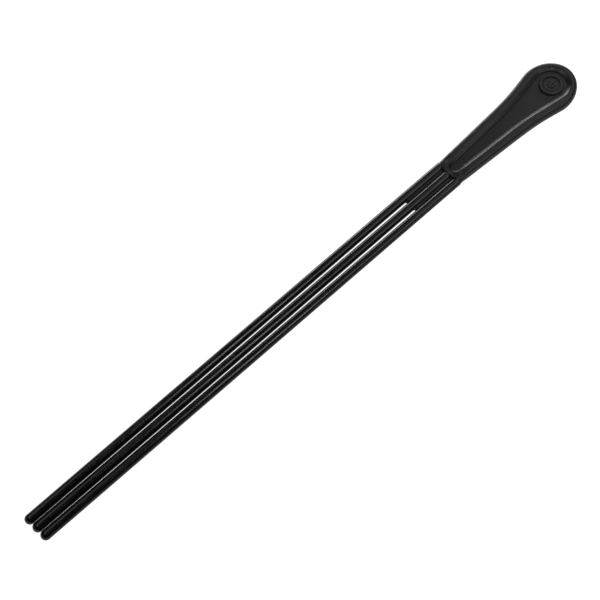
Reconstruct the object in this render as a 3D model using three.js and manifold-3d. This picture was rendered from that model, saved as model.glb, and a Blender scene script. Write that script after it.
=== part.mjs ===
// Three-rod percussion beater: a flat teardrop grip with three long, flexible plastic rods.
// Units are millimetres.  +X runs from the rod tips to the grip's head, +Y is across, +Z is up.
// The origin is at the centre of the underside, on the plane that the grip rests on.

import * as THREE from 'three';
import * as BufferGeometryUtils from 'three/addons/utils/BufferGeometryUtils.js';
import Module from 'manifold-3d';

const wasm = await Module();
wasm.setup();

// ---- driving dimensions -------------------------------------------------------------------

const TOTAL_LENGTH = 350;
const GRIP_THICKNESS = 5.8;
const CLEARANCE = 0.3;

// Stations along the beater, measured from the rod tips.
const ROD_PIVOT = 203;
const SLOT_END = 239;
const GRIP_FRONT = 263;
const ROD_SHOULDER = 266.2;
const ROD_PIN_END = 276;

// Rods: evenly spaced, a little thicker at the tips than where they join.
const ROD_PITCH = 5.4;
const ROD_ROOT_RADIUS = 2.29;
const ROD_TIP_RADIUS = 2.47;
const ROD_PIN_RADIUS = 0.6;
const WEB_THICKNESS = 2.5;

// Plan of the grip: a blunt nose, a slightly tapered neck, flared flanks and an elliptical head.
const GRIP_PLAN = {
  front: GRIP_FRONT,
  noseLength: 3.2,
  noseHalfWidth: 7.55,
  neckTaper: 0.052,
  flankSlope: 0.196,
  headLength: 15.7,
  headHalfWidth: 13.45,
  back: TOTAL_LENGTH,
};

// Plan of the sunken pocket, the same on both faces of the grip.
const POCKET_PLAN = {
  front: 266.8,
  noseLength: 2,
  noseHalfWidth: 1.9,
  neckTaper: 0.05,
  flankSlope: 0.17,
  headLength: 8.2,
  headHalfWidth: 7.95,
  back: 344.75,
};

// Where the curve between neck and flank starts and ends, as shares of those two straight lines.
const BLEND_START_SHARE = 0.82;
const BLEND_END_SHARE = 0.45;

const POCKET_DEPTH = 1.75;
const POCKET_BEVEL_WIDTH = 1.3;
const POCKET_BEVEL_DEPTH = 0.8;
const CORE_MARGIN = 1.1;
const EDGE_ROUND_WIDTH = 2.2;
const EDGE_ROUND_HEIGHT = 2.4;

// Badge: a round medallion in the head of the pocket, with a groove all round it.
const BADGE_STATION = 336.6;
const BADGE_RADIUS = 6.1;
const BADGE_GROOVE_OUTER = 4.4;
const BADGE_GROOVE_INNER = 3.7;
const BADGE_HEIGHT = 0.45;
const BADGE_BEVEL = 0.2;
const BADGE_SEAT_GAP = 0.05;

// ---- derived sizes ------------------------------------------------------------------------

const MID_Z = GRIP_THICKNESS / 2;
const CORE_THICKNESS = GRIP_THICKNESS - 2 * POCKET_DEPTH;
const CORE_TOP = MID_Z + CORE_THICKNESS / 2;
const RODS = { left: ROD_PITCH, middle: 0, right: -ROD_PITCH };
const ROUND_SEGMENTS = 20;
const ARC_STEPS = 14;
const DOME_STEPS = 5;
const EDGE_STEPS = 5;
const CUT_OVERRUN = 1;

const alongX = (station) => station - TOTAL_LENGTH / 2;

function rodRadius(station) {
  const taper = Math.min(station / SLOT_END, 1);
  return ROD_TIP_RADIUS + (ROD_ROOT_RADIUS - ROD_TIP_RADIUS) * taper;
}

// ---- materials ----------------------------------------------------------------------------

const rodPlastic = new THREE.MeshStandardMaterial({ color: 0x1b1b1c, roughness: 0.45, metalness: 0 });
const gripPlastic = new THREE.MeshStandardMaterial({ color: 0x242425, roughness: 0.55, metalness: 0 });
const corePlastic = new THREE.MeshStandardMaterial({ color: 0x1f1f20, roughness: 0.6, metalness: 0 });
const badgePlastic = new THREE.MeshStandardMaterial({ color: 0x1d1d1e, roughness: 0.4, metalness: 0 });

// ---- solids -------------------------------------------------------------------------------

function toSolid(geometry) {
  const bare = geometry.index ? geometry.toNonIndexed() : geometry.clone();
  bare.deleteAttribute('normal');
  bare.deleteAttribute('uv');
  const merged = BufferGeometryUtils.mergeVertices(bare, 1e-4);
  return new wasm.Manifold(new wasm.Mesh({
    numProp: 3,
    vertProperties: new Float32Array(merged.attributes.position.array),
    triVerts: new Uint32Array(merged.index.array),
  }));
}

function toGeometry(solid) {
  const mesh = solid.getMesh();
  const geometry = new THREE.BufferGeometry();
  geometry.setAttribute('position', new THREE.BufferAttribute(mesh.vertProperties, 3));
  geometry.setIndex(new THREE.BufferAttribute(mesh.triVerts, 1));
  geometry.computeVertexNormals();
  return geometry;
}

function block(fromX, toX, halfWidth, fromZ, toZ) {
  const geometry = new THREE.BoxGeometry(toX - fromX, 2 * halfWidth, toZ - fromZ);
  geometry.translate((fromX + toX) / 2, 0, (fromZ + toZ) / 2);
  return toSolid(geometry);
}

// A body of revolution about a line along X at height MID_Z; the profile is [station, radius].
function turned(profile, y) {
  const points = profile.map(([station, radius]) => new THREE.Vector2(radius, station));
  const geometry = new THREE.LatheGeometry(points, ROUND_SEGMENTS);
  geometry.rotateZ(-Math.PI / 2);
  geometry.translate(-TOTAL_LENGTH / 2, y, MID_Z);
  return geometry;
}

// ---- teardrop plans -----------------------------------------------------------------------

// One half of the plan, from its front point on the axis to its back point on the axis.
function teardropSide(plan) {
  const noseX = alongX(plan.front) + plan.noseLength;
  const neckAngle = Math.atan(plan.neckTaper * plan.noseLength / plan.noseHalfWidth);
  const neck = new THREE.Vector2(
    noseX - plan.noseLength * Math.sin(neckAngle),
    plan.noseHalfWidth * Math.cos(neckAngle),
  );
  const headX = alongX(plan.back) - plan.headLength;
  const flankAngle = Math.atan(plan.flankSlope * plan.headLength / plan.headHalfWidth);
  const flank = new THREE.Vector2(
    headX - plan.headLength * Math.sin(flankAngle),
    plan.headHalfWidth * Math.cos(flankAngle),
  );
  const cornerX = (flank.y - neck.y + plan.neckTaper * neck.x - plan.flankSlope * flank.x)
    / (plan.neckTaper - plan.flankSlope);
  const corner = new THREE.Vector2(cornerX, neck.y + plan.neckTaper * (cornerX - neck.x));
  const blendStart = new THREE.Vector2().lerpVectors(neck, corner, BLEND_START_SHARE);
  const blendEnd = new THREE.Vector2().lerpVectors(corner, flank, BLEND_END_SHARE);

  const points = [];
  for (let i = 0; i <= ARC_STEPS; i += 1) {
    const angle = (Math.PI / 2 - neckAngle) * (i / ARC_STEPS);
    points.push(new THREE.Vector2(
      noseX - plan.noseLength * Math.cos(angle),
      plan.noseHalfWidth * Math.sin(angle),
    ));
  }
  const blend = new THREE.QuadraticBezierCurve(blendStart, corner, blendEnd);
  points.push(...blend.getPoints(ARC_STEPS / 2));
  for (let i = 0; i <= ARC_STEPS; i += 1) {
    const angle = -flankAngle + (Math.PI / 2 + flankAngle) * (i / ARC_STEPS);
    points.push(new THREE.Vector2(
      headX + plan.headLength * Math.sin(angle),
      plan.headHalfWidth * Math.cos(angle),
    ));
  }
  points[points.length - 1].y = 0;
  return points;
}

// The whole plan, grown outward by a margin.
function teardropOutline(plan, margin) {
  const wider = {
    ...plan,
    front: plan.front - margin,
    noseLength: plan.noseLength + margin,
    noseHalfWidth: plan.noseHalfWidth + margin,
    headLength: plan.headLength + margin,
    headHalfWidth: plan.headHalfWidth + margin,
    back: plan.back + margin,
  };
  const side = teardropSide(wider);
  const mirrored = side.slice(1, -1).reverse().map((point) => new THREE.Vector2(point.x, -point.y));
  return [...side, ...mirrored];
}

function teardropShape(plan, margin = 0) {
  return new THREE.Shape(teardropOutline(plan, margin));
}

function plate(shape, fromZ, toZ) {
  const geometry = new THREE.ExtrudeGeometry(shape, { depth: toZ - fromZ, bevelEnabled: false });
  geometry.translate(0, 0, fromZ);
  return toSolid(geometry);
}

// A solid lofted upward through outlines of equal point count, each with its own height.
function loft(layers) {
  const count = layers[0].outline.length;
  const last = (layers.length - 1) * count;
  const positions = layers.flatMap(({ outline, z }) => outline.flatMap((p) => [p.x, p.y, z]));
  const indices = [];
  for (const [a, b, c] of THREE.ShapeUtils.triangulateShape(layers[0].outline, [])) {
    indices.push(c, b, a, last + a, last + b, last + c);
  }
  for (let layer = 0; layer < last; layer += count) {
    for (let i = 0; i < count; i += 1) {
      const from = layer + i;
      const to = layer + ((i + 1) % count);
      indices.push(to, from, from + count, to, from + count, to + count);
    }
  }
  const geometry = new THREE.BufferGeometry();
  geometry.setAttribute('position', new THREE.Float32BufferAttribute(positions, 3));
  geometry.setIndex(indices);
  return toSolid(geometry);
}

// ---- grip ---------------------------------------------------------------------------------

// The grip before anything is cut from it: both its edges are rounded to a quarter ellipse.
function roundedGripBlank() {
  const layers = [];
  for (let i = 0; i <= EDGE_STEPS; i += 1) {
    const angle = (Math.PI / 2) * (i / EDGE_STEPS);
    const inset = EDGE_ROUND_WIDTH * (1 - Math.sin(angle));
    const outline = teardropOutline(GRIP_PLAN, -inset);
    layers.push({ outline, z: EDGE_ROUND_HEIGHT * (1 - Math.cos(angle)) });
  }
  const upper = layers.map(({ outline, z }) => ({ outline, z: GRIP_THICKNESS - z }));
  return loft([...layers, ...upper.reverse()]);
}

// The space that a rod's shoulder and pin take inside the grip, with clearance all round.
function rodSocket(y) {
  const bore = ROD_ROOT_RADIUS + CLEARANCE;
  const pinBore = ROD_PIN_RADIUS + CLEARANCE;
  return toSolid(turned([
    [SLOT_END, 0],
    [SLOT_END, bore],
    [ROD_SHOULDER + CLEARANCE, bore],
    [ROD_SHOULDER + CLEARANCE, pinBore],
    [ROD_PIN_END + CLEARANCE, pinBore],
    [ROD_PIN_END + CLEARANCE, 0],
  ], y));
}

// The bevelled mouth of the pocket, widening towards one face of the grip.
function pocketMouth(side) {
  const facing = side === 'upper' ? 1 : -1;
  const reach = POCKET_BEVEL_DEPTH + CUT_OVERRUN;
  const innerZ = MID_Z + facing * (MID_Z - POCKET_BEVEL_DEPTH);
  const outerZ = innerZ + facing * reach;
  const inner = teardropOutline(POCKET_PLAN, 0);
  const outer = teardropOutline(POCKET_PLAN, POCKET_BEVEL_WIDTH * reach / POCKET_BEVEL_DEPTH);
  const layers = [{ outline: inner, z: innerZ }, { outline: outer, z: outerZ }];
  return loft(facing > 0 ? layers : layers.reverse());
}

// The two rims are bonded halves that close round the core and the rods' ends.
function gripRim(side) {
  const parting = CLEARANCE / 2;
  const half = side === 'upper'
    ? block(-TOTAL_LENGTH, TOTAL_LENGTH, TOTAL_LENGTH, MID_Z + parting, 2 * GRIP_THICKNESS)
    : block(-TOTAL_LENGTH, TOTAL_LENGTH, TOTAL_LENGTH, -GRIP_THICKNESS, MID_Z - parting);
  const seat = CORE_THICKNESS / 2 + BADGE_SEAT_GAP;
  let solid = roundedGripBlank().intersect(half);
  solid = solid.subtract(plate(
    teardropShape(POCKET_PLAN), -CUT_OVERRUN, GRIP_THICKNESS + CUT_OVERRUN,
  ));
  solid = solid.subtract(pocketMouth(side));
  solid = solid.subtract(plate(
    teardropShape(POCKET_PLAN, CORE_MARGIN + CLEARANCE), MID_Z - seat, MID_Z + seat,
  ));
  for (const y of Object.values(RODS)) {
    solid = solid.subtract(rodSocket(y));
  }
  return toGeometry(solid);
}

function gripCore() {
  const core = plate(
    teardropShape(POCKET_PLAN, CORE_MARGIN), MID_Z - CORE_THICKNESS / 2, CORE_TOP,
  );
  return toGeometry(core.subtract(rodSocket(RODS.middle)));
}

// The medallion lies on the core; it is turned about Z, with a small bevel and a ring groove.
function badgeGeometry() {
  const face = BADGE_HEIGHT - BADGE_BEVEL;
  const profile = [
    [0, 0],
    [BADGE_RADIUS, 0],
    [BADGE_RADIUS, face],
    [BADGE_RADIUS - BADGE_BEVEL, BADGE_HEIGHT],
    [BADGE_GROOVE_OUTER, BADGE_HEIGHT],
    [BADGE_GROOVE_OUTER, face],
    [BADGE_GROOVE_INNER, face],
    [BADGE_GROOVE_INNER, BADGE_HEIGHT],
    [0, BADGE_HEIGHT],
  ];
  const points = profile.map(([radius, height]) => new THREE.Vector2(radius, height));
  const geometry = new THREE.LatheGeometry(points, 2 * ROUND_SEGMENTS);
  geometry.rotateX(Math.PI / 2);
  return geometry;
}

// ---- rods ---------------------------------------------------------------------------------

// Half of a dome as [station, radius] points; direction is the way the dome points along X.
function dome(centre, radius, direction) {
  return Array.from({ length: DOME_STEPS + 1 }, (_, i) => {
    const angle = (Math.PI / 2) * (i / DOME_STEPS);
    return [centre + direction * radius * Math.cos(angle), i === 0 ? 0 : radius * Math.sin(angle)];
  });
}

// The free rod swings about its root, so that end is a ball about the pivot.
function freeRodProfile() {
  const tip = dome(ROD_TIP_RADIUS, ROD_TIP_RADIUS, -1);
  const root = dome(ROD_PIVOT, rodRadius(ROD_PIVOT), 1).reverse();
  return [...tip, ...root];
}

// The fixed root runs from the pivot to the grip and ends in a thinner pin inside it.
function rodRootProfile() {
  const start = ROD_PIVOT + rodRadius(ROD_PIVOT) + CLEARANCE;
  return [
    [start, 0],
    [start, rodRadius(start)],
    [SLOT_END, ROD_ROOT_RADIUS],
    [ROD_SHOULDER, ROD_ROOT_RADIUS],
    [ROD_SHOULDER, ROD_PIN_RADIUS],
    [ROD_PIN_END, ROD_PIN_RADIUS],
    [ROD_PIN_END, 0],
  ];
}

// A web fills the valley between two rods, from the slot's end to the grip.
function rodWeb(y) {
  const geometry = new THREE.BoxGeometry(
    GRIP_FRONT - CLEARANCE - SLOT_END, ROD_PITCH, WEB_THICKNESS,
  );
  geometry.translate(alongX((GRIP_FRONT - CLEARANCE + SLOT_END) / 2), y, MID_Z);
  let solid = toSolid(geometry);
  for (const side of [-1, 1]) {
    const bore = ROD_ROOT_RADIUS + CLEARANCE;
    const neighbour = turned([
      [ROD_PIVOT, 0],
      [ROD_PIVOT, bore],
      [ROD_PIN_END, bore],
      [ROD_PIN_END, 0],
    ], y + side * ROD_PITCH / 2);
    solid = solid.subtract(toSolid(neighbour));
  }
  return toGeometry(solid);
}

// ---- assembly -----------------------------------------------------------------------------

const group = new THREE.Group();

function addMesh(name, geometry, material) {
  const mesh = new THREE.Mesh(geometry, material);
  mesh.name = name;
  group.add(mesh);
  return mesh;
}

addMesh('grip_rim_upper', gripRim('upper'), gripPlastic);
addMesh('grip_rim_lower', gripRim('lower'), gripPlastic);
addMesh('grip_core', gripCore(), corePlastic);

for (const side of ['upper', 'lower']) {
  const badge = addMesh(`badge_${side}`, badgeGeometry(), badgePlastic);
  const facing = side === 'upper' ? 1 : -1;
  badge.rotation.x = facing > 0 ? 0 : Math.PI;
  badge.position.set(
    alongX(BADGE_STATION), 0, MID_Z + facing * (CORE_THICKNESS / 2 + BADGE_SEAT_GAP),
  );
}

for (const [side, y] of Object.entries(RODS)) {
  addMesh(`rod_root_${side}`, turned(rodRootProfile(), y), rodPlastic);
  addMesh(`rod_${side}`, turned(freeRodProfile(), y), rodPlastic);
}

addMesh('rod_web_left', rodWeb(ROD_PITCH / 2), rodPlastic);
addMesh('rod_web_right', rodWeb(-ROD_PITCH / 2), rodPlastic);

export default group;
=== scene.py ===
"""Looks of a three-rod percussion beater: moulded plastic grip, flexible rods, webs and badges.

Everything is in metres in the part's frame: +X runs from the rod tips to the grip's head, +Z is up.
"""

import math

import bmesh
import bpy
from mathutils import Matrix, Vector


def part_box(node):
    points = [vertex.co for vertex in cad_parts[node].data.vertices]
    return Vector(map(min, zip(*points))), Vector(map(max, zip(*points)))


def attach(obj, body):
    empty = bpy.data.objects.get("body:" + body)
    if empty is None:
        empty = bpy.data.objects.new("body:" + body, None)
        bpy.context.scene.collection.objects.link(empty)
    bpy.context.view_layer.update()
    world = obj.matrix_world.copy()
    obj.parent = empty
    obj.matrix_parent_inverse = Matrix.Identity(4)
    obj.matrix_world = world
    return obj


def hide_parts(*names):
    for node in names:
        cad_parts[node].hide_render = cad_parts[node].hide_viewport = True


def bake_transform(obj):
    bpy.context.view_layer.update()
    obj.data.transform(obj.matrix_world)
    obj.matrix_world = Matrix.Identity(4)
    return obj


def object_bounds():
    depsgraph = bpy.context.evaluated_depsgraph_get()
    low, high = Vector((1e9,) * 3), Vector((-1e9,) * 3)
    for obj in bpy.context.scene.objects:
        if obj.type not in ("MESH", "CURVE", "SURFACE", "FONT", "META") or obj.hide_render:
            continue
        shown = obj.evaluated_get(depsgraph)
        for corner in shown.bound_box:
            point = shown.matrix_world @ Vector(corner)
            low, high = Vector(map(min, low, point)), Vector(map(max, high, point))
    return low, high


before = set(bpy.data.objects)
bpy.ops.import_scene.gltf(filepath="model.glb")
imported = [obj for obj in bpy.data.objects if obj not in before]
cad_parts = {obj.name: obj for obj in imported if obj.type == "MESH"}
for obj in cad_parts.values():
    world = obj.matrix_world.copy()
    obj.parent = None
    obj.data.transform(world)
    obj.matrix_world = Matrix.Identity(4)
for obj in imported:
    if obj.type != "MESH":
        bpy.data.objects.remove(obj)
CAD_LOW, CAD_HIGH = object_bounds()

MM = 0.001

# ---- driving dimensions ---------------------------------------------------------------------

TIP_X = CAD_LOW.x
BACK_X = CAD_HIGH.x
MID_Z = (CAD_LOW.z + CAD_HIGH.z) / 2
HALF_THICKNESS = (CAD_HIGH.z - CAD_LOW.z) / 2
HEAD_HALF_WIDTH = CAD_HIGH.y

GRIP_FRONT_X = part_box("grip_rim_upper")[0].x
SLOT_END_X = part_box("rod_web_left")[0].x
CORE_HALF_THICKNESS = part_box("grip_core")[1].z - MID_Z
ROD_Y = {side: sum(corner.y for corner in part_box(f"rod_{side}")) / 2
         for side in ("left", "middle", "right")}
ROD_PITCH = ROD_Y["left"] - ROD_Y["middle"]

ROD_TIP_PITCH = 5.3 * MM
ROD_WEB_PITCH = 5.62 * MM
ROD_TIP_RADIUS = 2.47 * MM
ROD_ROOT_RADIUS = 2.29 * MM
MIDDLE_ROD_EMBED = 2.3 * MM
SIDE_ROD_EMBED = 3.5 * MM
ROD_END_FADE = 2.0 * MM
ROD_END_NARROWING = 0.5 * MM

# A teardrop plan: blunt nose, tapered neck, flared flanks, elliptical head.
GRIP_PLAN = {
    "front": GRIP_FRONT_X, "nose_length": 3.2 * MM, "nose_half_width": 7.45 * MM,
    "neck_taper": 0.0545, "flank_slope": 0.196,
    "head_length": 15.7 * MM, "head_half_width": HEAD_HALF_WIDTH, "back": BACK_X,
}
POCKET_PLAN = {
    "front": GRIP_FRONT_X + 3.8 * MM, "nose_length": 2.0 * MM, "nose_half_width": 1.9 * MM,
    "neck_taper": 0.05, "flank_slope": 0.17,
    "head_length": 8.2 * MM, "head_half_width": 7.95 * MM, "back": BACK_X - 5.25 * MM,
}
CORE_MARGIN = 1.1 * MM

BADGE_SHIFT = 0.3 * MM
BADGE_X = sum(corner.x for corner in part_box("badge_upper")) / 2 + BADGE_SHIFT
BADGE_RADIUS = 6.1 * MM
BADGE_BOTTOM = CORE_HALF_THICKNESS + 0.02 * MM
BADGE_TOP = CORE_HALF_THICKNESS + 0.85 * MM

SMOOTH_ANGLE = math.radians(35)


# ---- mesh helpers ---------------------------------------------------------------------------

def new_object(name, mesh_builder, material):
    """An object whose faces point out and are smooth except at real edges."""
    mesh = bpy.data.meshes.new(name)
    bm = bmesh.new()
    mesh_builder(bm)
    bmesh.ops.recalc_face_normals(bm, faces=bm.faces)
    bm.to_mesh(mesh)
    bm.free()
    mesh.materials.append(material)
    for polygon in mesh.polygons:
        polygon.use_smooth = True
    mesh.set_sharp_from_angle(angle=SMOOTH_ANGLE)
    piece = bpy.data.objects.new(name, mesh)
    bpy.context.scene.collection.objects.link(piece)
    return piece


def skin_rings(bm, rings, closed_along=False, cap_ends=True):
    """Quads between neighbouring rings of equal length; each ring is a closed loop of points.

    Returns the rings' vertices.
    """
    loops = [[bm.verts.new(point) for point in ring] for ring in rings]
    count = len(loops[0])
    pairs = list(zip(loops, loops[1:]))
    if closed_along:
        pairs.append((loops[-1], loops[0]))
    for one, other in pairs:
        for i in range(count):
            j = (i + 1) % count
            bm.faces.new((one[i], one[j], other[j], other[i]))
    if cap_ends and not closed_along:
        for loop in (loops[0], loops[-1]):
            centre = bm.verts.new(sum((vert.co for vert in loop), Vector()) / count)
            for i in range(count):
                bm.faces.new((centre, loop[i], loop[(i + 1) % count]))
    return loops


def circle(count):
    """The (cosine, sine) pairs of evenly spaced angles, once round."""
    angles = [2 * math.pi * i / count for i in range(count)]
    return [(math.cos(angle), math.sin(angle)) for angle in angles]


def smooth_step(value):
    value = min(max(value, 0.0), 1.0)
    return value * value * (3 - 2 * value)


# ---- teardrop plans -------------------------------------------------------------------------

# Points along the nose's arc, the neck, the bend, the flank and the head's arc.
NOSE_POINTS = 26
NECK_POINTS = 44
BEND_POINTS = 18
FLANK_POINTS = 8
HEAD_POINTS = 52
# Where the bend leaves the neck's line and joins the flank's, as shares of the two lines.
BEND_START = 0.78
BEND_END = 0.55


def teardrop_side(plan, margin):
    """Points from the plan's front to its back on the +Y side, as many of them for every plan."""
    nose_length = plan["nose_length"] + margin
    nose_width = plan["nose_half_width"] + margin
    length = plan["head_length"] + margin
    width = plan["head_half_width"] + margin
    nose_x = plan["front"] + plan["nose_length"]
    head_x = plan["back"] - plan["head_length"]
    neck_angle = math.atan(plan["neck_taper"] * nose_length / nose_width)
    neck = Vector((nose_x - nose_length * math.sin(neck_angle),
                   nose_width * math.cos(neck_angle)))
    flank_angle = math.atan(plan["flank_slope"] * length / width)
    flank = Vector((head_x - length * math.sin(flank_angle), width * math.cos(flank_angle)))
    slopes = plan["neck_taper"] - plan["flank_slope"]
    corner_x = (flank.y - neck.y + plan["neck_taper"] * neck.x
                - plan["flank_slope"] * flank.x) / slopes
    corner = Vector((corner_x, neck.y + plan["neck_taper"] * (corner_x - neck.x)))
    bend_start = neck.lerp(corner, BEND_START)
    bend_end = corner.lerp(flank, BEND_END)

    points = []
    for i in range(NOSE_POINTS):
        angle = (math.pi / 2 - neck_angle) * i / NOSE_POINTS
        points.append(Vector((nose_x - nose_length * math.cos(angle),
                              nose_width * math.sin(angle))))
    points += [neck.lerp(bend_start, i / NECK_POINTS) for i in range(NECK_POINTS)]
    for i in range(BEND_POINTS):
        share = i / BEND_POINTS
        points.append(bend_start * (1 - share) ** 2 + corner * 2 * share * (1 - share)
                      + bend_end * share ** 2)
    points += [bend_end.lerp(flank, i / FLANK_POINTS) for i in range(FLANK_POINTS)]
    for i in range(HEAD_POINTS + 1):
        angle = -flank_angle + (math.pi / 2 + flank_angle) * i / HEAD_POINTS
        points.append(Vector((head_x + length * math.sin(angle), width * math.cos(angle))))
    points[-1].y = 0.0
    return points


def teardrop_loop(plan, margin=0.0):
    side = teardrop_side(plan, margin)
    return side + [Vector((point.x, -point.y)) for point in reversed(side[1:-1])]


# ---- materials ------------------------------------------------------------------------------

PLASTIC_IOR = 1.5
# Tones are multiples of a plastic's own colour.
DARK_TONE = 0.8
LIGHT_TONE = 1.25
RUBBED_TONE = 2.2
# Where rubbing and dust start, and where they are full.
RUBBED_POINTINESS = (0.53, 0.62)
DUST_REACH = (0.07, 0.03)
DUST_COVER = 0.3
DUST_COLOUR = (0.05, 0.05, 0.05, 1)
# The noise between these two values spreads the roughness below and above its mean.
GLOSS_NOISE = (0.3, 0.7)
GLOSS_BELOW = 0.07
GLOSS_ABOVE = 0.09
STREAK_STRETCH = (0.03, 1.0, 1.0)


def link(tree, source, output, target, socket):
    tree.links.new(source.outputs[output], target.inputs[socket])


def add_node(tree, kind, **settings):
    """A node of a kind; each setting is one of its inputs or else one of its properties."""
    made = tree.nodes.new(kind)
    for key, value in settings.items():
        if key in made.inputs:
            made.inputs[key].default_value = value
        else:
            setattr(made, key, value)
    return made


def add_vector_node(tree, kind, source, output="Object", **settings):
    """A node whose vector comes from another node, which is mostly the object's coordinates."""
    made = add_node(tree, kind, **settings)
    link(tree, source, output, made, "Vector")
    return made


def add_remap(tree, source, output, old_range, new_range):
    """Maps an output from its old range to a new one."""
    remap = add_node(tree, "ShaderNodeMapRange")
    remap.inputs["From Min"].default_value, remap.inputs["From Max"].default_value = old_range
    remap.inputs["To Min"].default_value, remap.inputs["To Max"].default_value = new_range
    link(tree, source, output, remap, "Value")
    return remap


def add_colour_mix(tree, factor, output):
    mix = add_node(tree, "ShaderNodeMix", data_type="RGBA")
    link(tree, factor, output, mix, "Factor")
    return mix


def times(colour, gain):
    return (*[channel * gain for channel in colour], 1)


def moulded_colour(tree, place, colour):
    """Slow tone drift, edges rubbed a little lighter, and sparse dust."""
    drift = add_vector_node(tree, "ShaderNodeTexNoise", place, Scale=90.0, Detail=4.0)
    tone = add_colour_mix(tree, drift, "Fac")
    tone.inputs["A"].default_value = times(colour, DARK_TONE)
    tone.inputs["B"].default_value = times(colour, LIGHT_TONE)

    geometry = add_node(tree, "ShaderNodeNewGeometry")
    edge = add_remap(tree, geometry, "Pointiness", RUBBED_POINTINESS, (0.0, 1.0))
    patchy = add_vector_node(tree, "ShaderNodeTexNoise", place, Scale=700.0, Detail=5.0)
    rubbed = add_node(tree, "ShaderNodeMath", operation="MULTIPLY")
    link(tree, edge, "Result", rubbed, 0)
    link(tree, patchy, "Fac", rubbed, 1)
    worn = add_colour_mix(tree, rubbed, "Value")
    link(tree, tone, "Result", worn, "A")
    worn.inputs["B"].default_value = times(colour, RUBBED_TONE)

    specks = add_vector_node(tree, "ShaderNodeTexVoronoi", place, Scale=420.0)
    dust = add_remap(tree, specks, "Distance", DUST_REACH, (0.0, DUST_COVER))
    dusty = add_colour_mix(tree, dust, "Result")
    link(tree, worn, "Result", dusty, "A")
    dusty.inputs["B"].default_value = DUST_COLOUR
    return dusty


def moulded_gloss(tree, place, roughness):
    """Handled plastic is never evenly matt."""
    handled = add_vector_node(tree, "ShaderNodeTexNoise", place,
                              Scale=260.0, Detail=6.0, Roughness=0.6)
    return add_remap(tree, handled, "Fac", GLOSS_NOISE,
                     (roughness - GLOSS_BELOW, roughness + GLOSS_ABOVE))


def moulded_relief(tree, place, grain_scale, grain_height, relief, streaks):
    """Fine grain, and on the rods and webs faint lines along their length."""
    grain = add_vector_node(tree, "ShaderNodeTexNoise", place, Scale=grain_scale, Detail=3.0)
    bump = add_node(tree, "ShaderNodeBump", Strength=relief, Distance=grain_height)
    link(tree, grain, "Fac", bump, "Height")
    if not streaks:
        return bump
    stretched = add_vector_node(tree, "ShaderNodeMapping", place, Scale=STREAK_STRETCH)
    lines = add_vector_node(tree, "ShaderNodeTexNoise", stretched, "Vector",
                            Scale=1400.0, Detail=2.0)
    drawn = add_node(tree, "ShaderNodeBump", Strength=streaks, Distance=grain_height)
    link(tree, lines, "Fac", drawn, "Height")
    link(tree, bump, "Normal", drawn, "Normal")
    return drawn


def moulded_plastic(name, colour, roughness, grain_scale, grain_height, relief, streaks=0.0):
    """Black moulded plastic: fine spark-eroded grain, uneven gloss, worn edges and light dust."""
    material = bpy.data.materials.new(name)
    material.use_nodes = True
    tree = material.node_tree
    shader = tree.nodes["Principled BSDF"]
    shader.inputs["IOR"].default_value = PLASTIC_IOR
    place = add_node(tree, "ShaderNodeTexCoord")
    link(tree, moulded_colour(tree, place, colour), "Result", shader, "Base Color")
    link(tree, moulded_gloss(tree, place, roughness), "Result", shader, "Roughness")
    surface = moulded_relief(tree, place, grain_scale, grain_height, relief, streaks)
    link(tree, surface, "Normal", shader, "Normal")
    return material


GRIP_PLASTIC = moulded_plastic(
    "grip_plastic_moulded", (0.010, 0.010, 0.0105), roughness=0.35,
    grain_scale=5200, grain_height=0.03 * MM, relief=0.7)
CORE_PLASTIC = moulded_plastic(
    "core_plastic_moulded", (0.009, 0.009, 0.0095), roughness=0.39,
    grain_scale=5200, grain_height=0.03 * MM, relief=0.75)
BADGE_PLASTIC = moulded_plastic(
    "badge_plastic_moulded", (0.008, 0.008, 0.0085), roughness=0.35,
    grain_scale=6500, grain_height=0.03 * MM, relief=0.5)
ROD_PLASTIC = moulded_plastic(
    "rod_plastic_moulded", (0.0045, 0.0045, 0.0047), roughness=0.24,
    grain_scale=6000, grain_height=0.02 * MM, relief=0.16, streaks=0.14)


# ---- grip rims ------------------------------------------------------------------------------

EDGE_BAND = 0.35 * MM
EDGE_ROUND = 1.9 * MM
BEAD_SLOPE = 2.2 * MM
BEAD_DROP = 1.15 * MM
NOSE_EDGE_ROUND = 0.5 * MM
NOSE_SHOULDER_DROP = 0.5 * MM
NOSE_BEAD_SLOPE = 1.6 * MM
LEAST_SHOULDER = 0.1 * MM
BEAD_CROWN = 0.3 * MM
BEAD_OUTER_SLOPE = 2.3 * MM
MOUTH_FILLET = 0.3 * MM
WALL_DRAFT = 0.12 * MM
PARTING_GAP = 0.02 * MM
PARTING_CHAMFER = 0.1 * MM
SEAT_GAP = 0.03 * MM
RECESS_GAP = 0.25 * MM
NOSE_FADE_START_X = GRIP_FRONT_X + GRIP_PLAN["nose_length"]
NOSE_FADE_LENGTH = 5.5 * MM
MOUTH_SLOPE_POWER = 1.4
MOUTH_FILLET_TURN = math.radians(80)
EDGE_STEPS = 12
SLOPE_STEPS = 8
FILLET_STEPS = 5


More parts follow.
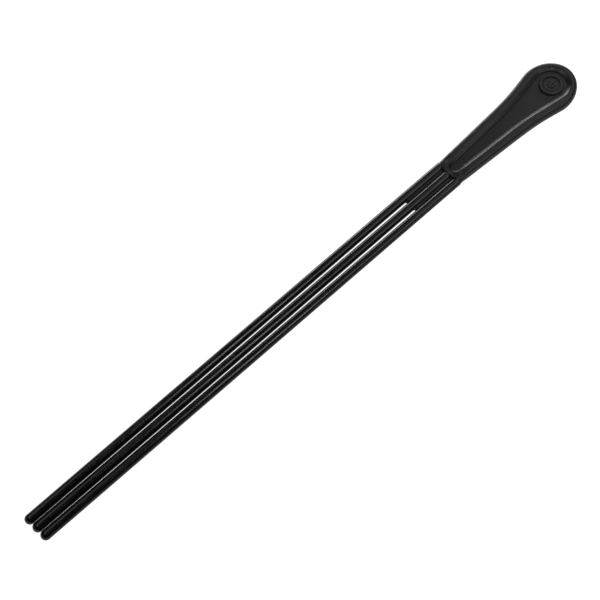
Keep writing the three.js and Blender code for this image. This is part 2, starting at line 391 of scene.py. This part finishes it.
def rim_profile(width, nose, front):
    """The rim's section as (distance in from the outer edge, height) points, once round.

    The outer edge is a quarter ellipse, the crown is flat, and a slope leads down to the pocket's
    mouth, where a small fillet turns into the steep wall. Round the nose, where nose is 1, the edge
    ends in a low shoulder, from which the bead round the pocket rises. Where front is 1, the edge
    is steep.
    """
    top = HALF_THICKNESS
    seat = CORE_HALF_THICKNESS + SEAT_GAP
    edge_round = EDGE_ROUND + (NOSE_EDGE_ROUND - EDGE_ROUND) * front
    edge_top = top - NOSE_SHOULDER_DROP * nose
    slope_start = width - BEAD_SLOPE - (NOSE_BEAD_SLOPE - BEAD_SLOPE) * nose
    bead_top = slope_start - BEAD_CROWN
    bead_foot = max(bead_top - BEAD_OUTER_SLOPE, edge_round + LEAST_SHOULDER)
    mouth = width - MOUTH_FILLET
    points = [(PARTING_CHAMFER, PARTING_GAP), (0.0, PARTING_GAP + PARTING_CHAMFER)]
    for i in range(EDGE_STEPS + 1):
        angle = math.pi / 2 * i / EDGE_STEPS
        points.append((edge_round * (1 - math.cos(angle)),
                       EDGE_BAND + (edge_top - EDGE_BAND) * math.sin(angle)))
    points.append((edge_round + (bead_foot - edge_round) / 2, edge_top))
    for i in range(SLOPE_STEPS + 1):
        share = i / SLOPE_STEPS
        points.append((bead_foot + (bead_top - bead_foot) * share,
                       edge_top + (top - edge_top) * smooth_step(share)))
    for i in range(SLOPE_STEPS + 1):
        share = i / SLOPE_STEPS
        drop = BEAD_DROP * share ** MOUTH_SLOPE_POWER
        points.append((slope_start + (mouth - slope_start) * share, top - drop))
    shoulder = top - BEAD_DROP
    for i in range(1, FILLET_STEPS + 1):
        angle = MOUTH_FILLET_TURN * i / FILLET_STEPS
        points.append((mouth + MOUTH_FILLET * math.sin(angle),
                       shoulder - MOUTH_FILLET * (1 - math.cos(angle))))
    points.append((width + WALL_DRAFT, seat))
    recess = width - CORE_MARGIN - RECESS_GAP
    points.append((recess, seat))
    points.append((recess, PARTING_GAP))
    return points


def build_rim(side):
    """Half of the grip's outer band: the upper half where side is 1, and the lower where it is -1."""
    outer = teardrop_loop(GRIP_PLAN)
    inner = teardrop_loop(POCKET_PLAN)

    def build(bm):
        rings = []
        for outside, inside in zip(outer, inner):
            across = inside - outside
            width = across.length
            direction = across / width
            ring = []
            nose = 1 - smooth_step((outside.x - NOSE_FADE_START_X) / NOSE_FADE_LENGTH)
            front = 1 - smooth_step((outside.x - GRIP_FRONT_X) / GRIP_PLAN["nose_length"])
            for distance, height in rim_profile(width, nose, front):
                plan = outside + direction * distance
                ring.append(Vector((plan.x, plan.y, MID_Z + side * height)))
            rings.append(ring)
        skin_rings(bm, rings, closed_along=True)

    return build


# ---- grip core ------------------------------------------------------------------------------

CORE_DISH = 0.1 * MM
CORE_STEPS = 8
SPINE_FRONT_INSET = 4 * MM
SPINE_BACK_INSET = 9 * MM


def build_core(bm):
    """A plate with two slightly dished faces, which are the floors of the pockets.

    Its rings shrink towards a spine along the middle of each face.
    """
    outline = teardrop_loop(POCKET_PLAN, CORE_MARGIN)
    spine_start = outline[0].x + SPINE_FRONT_INSET
    spine_end = outline[len(outline) // 2].x - SPINE_BACK_INSET
    rings = []
    for face in (1, -1):
        for i in range(1, CORE_STEPS + 1)[::face]:
            share = i / CORE_STEPS
            height = CORE_HALF_THICKNESS - CORE_DISH * (1 - share * share)
            ring = []
            for point in outline:
                centre = Vector((min(max(point.x, spine_start), spine_end), 0))
                plan = centre.lerp(point, share)
                ring.append(Vector((plan.x, plan.y, MID_Z + face * height)))
            rings.append(ring)
    loops = skin_rings(bm, rings, cap_ends=False)
    for loop in (loops[0], loops[-1]):
        close_spine(bm, loop)


def close_spine(bm, loop):
    """Closes the long slit that the innermost ring leaves, by quads across it."""
    half = len(loop) // 2
    left = loop[:half + 1]
    right = [loop[0]] + list(reversed(loop[half:]))
    for i in range(half):
        corners = [left[i], left[i + 1], right[i + 1], right[i]]
        unique = list(dict.fromkeys(corners))
        if len(unique) > 2:
            bm.faces.new(unique)


# ---- badges ---------------------------------------------------------------------------------

BADGE_SEGMENTS = 120
BADGE_BEVEL = 0.2 * MM
BADGE_BEVEL_STEPS = 6
GROOVE_DEPTH = 0.6 * MM
FIELD_DEPTH = 0.4 * MM
FIELD_RADIUS = 3.75 * MM
GROOVE_RADIUS = 4.35 * MM
RELIEF_SLOPE = 0.18 * MM
# Rings of vertices as (first radius, spacing, count), dense where the relief is.
BADGE_RINGS = (
    (0.25 * MM, 0.25 * MM, 13),
    (3.5 * MM, 0.06 * MM, 18),
    (4.7 * MM, 0.18 * MM, 6),
)

# The bars' distances across from the badge's centre, and their lengths.
BARS = ((-1.45 * MM, 3.2 * MM), (0.0, 4.6 * MM), (1.45 * MM, 3.2 * MM))
BAR_HALF_WIDTH = 0.42 * MM
BAR_SEGMENTS = 24
# A bar's section, from its foot below the field up, as (share of its width, height).
BAR_SECTION = ((1.0, -0.1 * MM), (1.0, 0.2 * MM), (0.85, 0.36 * MM), (0.6, 0.4 * MM))


def badge_height(radius):
    """Face height above the badge's foot: a raised ring, a groove and a sunken centre."""
    past_field = smooth_step((radius - FIELD_RADIUS) / RELIEF_SLOPE)
    past_groove = smooth_step((radius - GROOVE_RADIUS) / RELIEF_SLOPE)
    groove = GROOVE_DEPTH * (past_field - past_groove)
    field = FIELD_DEPTH * (1 - past_field)
    return BADGE_TOP - BADGE_BOTTOM - groove - field


def build_badge(side):
    """The medallion on the upper face where side is 1, and on the lower where it is -1."""
    def build(bm):
        rings = []
        for first, spacing, count in BADGE_RINGS:
            for i in range(count):
                radius = first + spacing * i
                rings.append((radius, badge_height(radius)))
        for i in range(1, BADGE_BEVEL_STEPS + 1):
            angle = math.pi / 2 * i / BADGE_BEVEL_STEPS
            rings.append((BADGE_RADIUS - BADGE_BEVEL * (1 - math.sin(angle)),
                          badge_height(BADGE_RADIUS) - BADGE_BEVEL * (1 - math.cos(angle))))
        rings.append((BADGE_RADIUS, 0.0))
        skin_rings(bm, [
            [Vector((BADGE_X + radius * cosine, radius * sine,
                     MID_Z + side * (BADGE_BOTTOM + height)))
             for cosine, sine in circle(BADGE_SEGMENTS)]
            for radius, height in rings
        ])
        for offset, length in BARS:
            add_relief_bar(bm, offset, length, side)

    return build


def add_relief_bar(bm, offset, length, side):
    """A small raised bar with sloping sides and round ends, along X on the badge's centre."""
    field_height = BADGE_TOP - FIELD_DEPTH
    straight = length / 2 - BAR_HALF_WIDTH
    rings = []
    for grow, height in BAR_SECTION:
        ring = []
        for cosine, sine in circle(BAR_SEGMENTS):
            end = straight if cosine >= 0 else -straight
            ring.append(Vector((
                BADGE_X + end + BAR_HALF_WIDTH * grow * cosine,
                offset + BAR_HALF_WIDTH * grow * sine,
                MID_Z + side * (field_height + height),
            )))
        rings.append(ring)
    skin_rings(bm, rings)


# ---- rods and webs --------------------------------------------------------------------------

ROD_SEGMENTS = 40
ROD_STEP = 1.0 * MM
ROD_DOME_STEPS = 14


def from_tip_to_web(x, at_tip, at_web):
    """A value that changes evenly from the rods' tips to the slots' ends, and is level from there."""
    share = min((x - TIP_X) / (SLOT_END_X - TIP_X), 1.0)
    return at_tip + (at_web - at_tip) * share


def rod_radius(x):
    return from_tip_to_web(x, ROD_TIP_RADIUS, ROD_ROOT_RADIUS)


def rod_centre(y, x):
    """Where a rod's axis runs: the rods draw together a little towards their tips."""
    return y / ROD_PITCH * from_tip_to_web(x, ROD_TIP_PITCH, ROD_WEB_PITCH)


def build_rod(y, embed):
    """A rod from its domed tip to its end inside the grip, where it narrows out of sight."""
    def build(bm):
        stations = []
        for i in range(1, ROD_DOME_STEPS + 1):
            angle = math.pi / 2 * i / ROD_DOME_STEPS
            stations.append((TIP_X + ROD_TIP_RADIUS * (1 - math.cos(angle)),
                             ROD_TIP_RADIUS * math.sin(angle)))
        start = stations[-1][0]
        end = GRIP_FRONT_X + embed
        count = round((end - start) / ROD_STEP)
        for i in range(1, count + 1):
            x = start + (end - start) * i / count
            fade = smooth_step((x - end + ROD_END_FADE) / ROD_END_FADE)
            stations.append((x, rod_radius(x) - ROD_END_NARROWING * fade))
        skin_rings(bm, [
            [Vector((x, rod_centre(y, x) + radius * cosine, MID_Z + radius * sine))
             for cosine, sine in circle(ROD_SEGMENTS)]
            for x, radius in stations
        ])

    return build


WEB_HALF_THICKNESS = 1.0 * MM
WEB_INSET = 1.3 * MM
WEB_HALF_WIDTH = ROD_WEB_PITCH / 2 - WEB_INSET
WEB_EMBED = 2.5 * MM
WEB_EDGE_LIFT = 0.12 * MM
SLOT_RADIUS = 0.55 * MM
WEB_COLUMNS = 10
WEB_ROWS = 14
WEB_ROW_POWER = 1.5
# The web thins towards the slot, over the first part of its length.
WEB_END_THINNING = 0.18
WEB_THINNING_REACH = 1 / 12


def build_web(y):
    """A strip between two rods, sunk below their tops, with a hollow round end at the slot."""
    columns = [WEB_HALF_WIDTH * (2 * i / WEB_COLUMNS - 1) for i in range(WEB_COLUMNS + 1)]
    section = [(across, 1) for across in columns] + [(across, -1) for across in reversed(columns)]

    def build(bm):
        end = GRIP_FRONT_X + WEB_EMBED
        rings = []
        for row in range(WEB_ROWS + 1):
            share = row / WEB_ROWS
            thinning = WEB_END_THINNING * (1 - smooth_step(share / WEB_THINNING_REACH))
            ring = []
            for across, face in section:
                inside = min(abs(across) / SLOT_RADIUS, 1.0)
                hollow = SLOT_RADIUS * (math.sqrt(1 - inside * inside) - 1)
                start = SLOT_END_X + hollow
                x = start + (end - start) * share ** WEB_ROW_POWER
                lift = WEB_EDGE_LIFT * (across / WEB_HALF_WIDTH) ** 2
                height = (WEB_HALF_THICKNESS + lift) * (1 - thinning)
                ring.append(Vector((x, y + across, MID_Z + face * height)))
            rings.append(ring)
        skin_rings(bm, rings)

    return build


# ---- assembly -------------------------------------------------------------------------------

def add_piece(name, builder, material, nodes, body="grip"):
    """A piece that replaces its nodes and rides on a body, or that is left without one."""
    piece = new_object(name, builder, material)
    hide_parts(*nodes)
    if body:
        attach(piece, body)
    return piece


for label, side in (("upper", 1), ("lower", -1)):
    add_piece(f"moulded_rim_{label}", build_rim(side), GRIP_PLASTIC,
              [f"grip_rim_{label}"])
    add_piece(f"moulded_badge_{label}", build_badge(side), BADGE_PLASTIC,
              [f"badge_{label}"])

add_piece("moulded_core", build_core, CORE_PLASTIC, ["grip_core"])

for label, y in (("left", ROD_WEB_PITCH / 2), ("right", -ROD_WEB_PITCH / 2)):
    add_piece(f"moulded_web_{label}", build_web(y), ROD_PLASTIC,
              [f"rod_web_{label}"])

for label, y in ROD_Y.items():
    embed = MIDDLE_ROD_EMBED if label == "middle" else SIDE_ROD_EMBED
    rod = add_piece(f"flexible_rod_{label}", build_rod(y, embed), ROD_PLASTIC,
                    [f"rod_{label}", f"rod_root_{label}"], body=None)
    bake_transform(rod)


# ---- floor, light and camera ----------------------------------------------------------------

TABLE_REACH = 3.0
TABLE_GAP = 0.05 * MM
TABLE_COLOUR = (0.3, 0.3, 0.3, 1)
TABLE_ROUGHNESS = 0.8
TABLE_SPECULAR = 0.1
# Across the beater, the table's glow rises from its least to its full strength.
TABLE_GLOW_Y = (-0.02, 0.03)
TABLE_GLOW = (0.3, 1.0)
AMBIENT = 0.02
WHITE = (1, 1, 1, 1)


def seen_white(tree, glow=0.0):
    """A strength that is white where it is seen, and lights the beater only by the glow."""
    path = add_node(tree, "ShaderNodeLightPath")
    seen = add_node(tree, "ShaderNodeMix", data_type="FLOAT")
    seen.inputs["A"].default_value = glow
    seen.inputs["B"].default_value = 1.0
    link(tree, path, "Is Camera Ray", seen, "Factor")
    return seen


def table_material():
    """The table looks white everywhere, but it lights the beater more from the far side."""
    material = bpy.data.materials.new("white_table")
    material.use_nodes = True
    tree = material.node_tree
    shader = tree.nodes["Principled BSDF"]
    shader.inputs["Base Color"].default_value = TABLE_COLOUR
    shader.inputs["Roughness"].default_value = TABLE_ROUGHNESS
    shader.inputs["Specular IOR Level"].default_value = TABLE_SPECULAR
    shader.inputs["Emission Color"].default_value = WHITE

    place = add_node(tree, "ShaderNodeTexCoord")
    split = add_vector_node(tree, "ShaderNodeSeparateXYZ", place)
    glow = add_remap(tree, split, "Y", TABLE_GLOW_Y, TABLE_GLOW)
    seen = seen_white(tree)
    link(tree, glow, "Result", seen, "A")
    link(tree, seen, "Result", shader, "Emission Strength")
    return material


def make_floor():
    def build(bm):
        corners = [bm.verts.new((x * TABLE_REACH, y * TABLE_REACH, CAD_LOW.z - TABLE_GAP))
                   for x, y in ((-1, -1), (1, -1), (1, 1), (-1, 1))]
        bm.faces.new(corners)

    floor = new_object("table", build, table_material())


def add_softbox(name, place, aim, size, radiance):
    """An area light of a given radiance, aimed at a point."""
    light = bpy.data.lights.new(name, "AREA")
    light.shape = "RECTANGLE"
    light.size, light.size_y = size
    light.energy = radiance * math.pi * size[0] * size[1]
    box = bpy.data.objects.new(name, light)
    box.visible_camera = False
    box.location = place
    box.rotation_euler = (Vector(aim) - Vector(place)).to_track_quat("-Z", "Y").to_euler()
    bpy.context.scene.collection.objects.link(box)


def light_scene():
    world = bpy.data.worlds.new("studio")
    world.use_nodes = True
    tree = world.node_tree
    background = tree.nodes["Background"]
    background.inputs["Color"].default_value = WHITE
    link(tree, seen_white(tree, AMBIENT), "Result", background, "Strength")
    bpy.context.scene.world = world

    add_softbox("key", (0.27, -0.14, 0.25), aim=(0.16, -0.09, 0), size=(0.5, 0.2), radiance=0.65)
    add_softbox("key_edge", (0.044, -0.13, 0.25), aim=(-0.065, 0, 0), size=(0.034, 0.16),
                radiance=7.8)
    add_softbox("overhead", (0.45, 0.08, 0.5), aim=(0.2, 0, 0), size=(0.4, 0.36), radiance=0.45)
    add_softbox("low_back", (0.75, 0.85, 0.2), aim=(0.12, 0, 0), size=(0.9, 0.36), radiance=6.0)
    add_softbox("glint", (-0.22, 0.06, 0.5), aim=(0.165, 0, 0), size=(0.1, 0.1), radiance=5.0)
    add_softbox("tip_side", (-0.12, 0.2, 0.5), aim=(0.12, 0, 0), size=(0.4, 0.2), radiance=1.2)
    add_softbox("grip_side", (0.29, -0.36, 0.3), aim=(0.13, 0, 0), size=(0.16, 0.3), radiance=0.7)


CAMERA_AZIMUTH = math.radians(-44.45)
CAMERA_ELEVATION = math.radians(61.1)
CAMERA_DISTANCE = 1.115
CAMERA_TARGET = Vector((-0.0083, 0.0019, -0.0002))
CAMERA_LENS = 143.3
CAMERA_SENSOR = 36.0
CAMERA_CLIP_START = 0.05


def make_camera():
    camera = bpy.data.cameras.new("camera")
    camera.lens = CAMERA_LENS
    camera.sensor_width = CAMERA_SENSOR
    camera.clip_start = CAMERA_CLIP_START
    back = Vector((
        math.sin(CAMERA_AZIMUTH) * math.cos(CAMERA_ELEVATION),
        -math.cos(CAMERA_AZIMUTH) * math.cos(CAMERA_ELEVATION),
        math.sin(CAMERA_ELEVATION),
    ))
    holder = bpy.data.objects.new("camera", camera)
    holder.location = CAMERA_TARGET + back * CAMERA_DISTANCE
    holder.rotation_euler = (-back).to_track_quat("-Z", "Y").to_euler()
    bpy.context.scene.collection.objects.link(holder)
    bpy.context.scene.camera = holder


make_floor()
light_scene()
make_camera()
bpy.context.scene.view_settings.view_transform = "Standard"
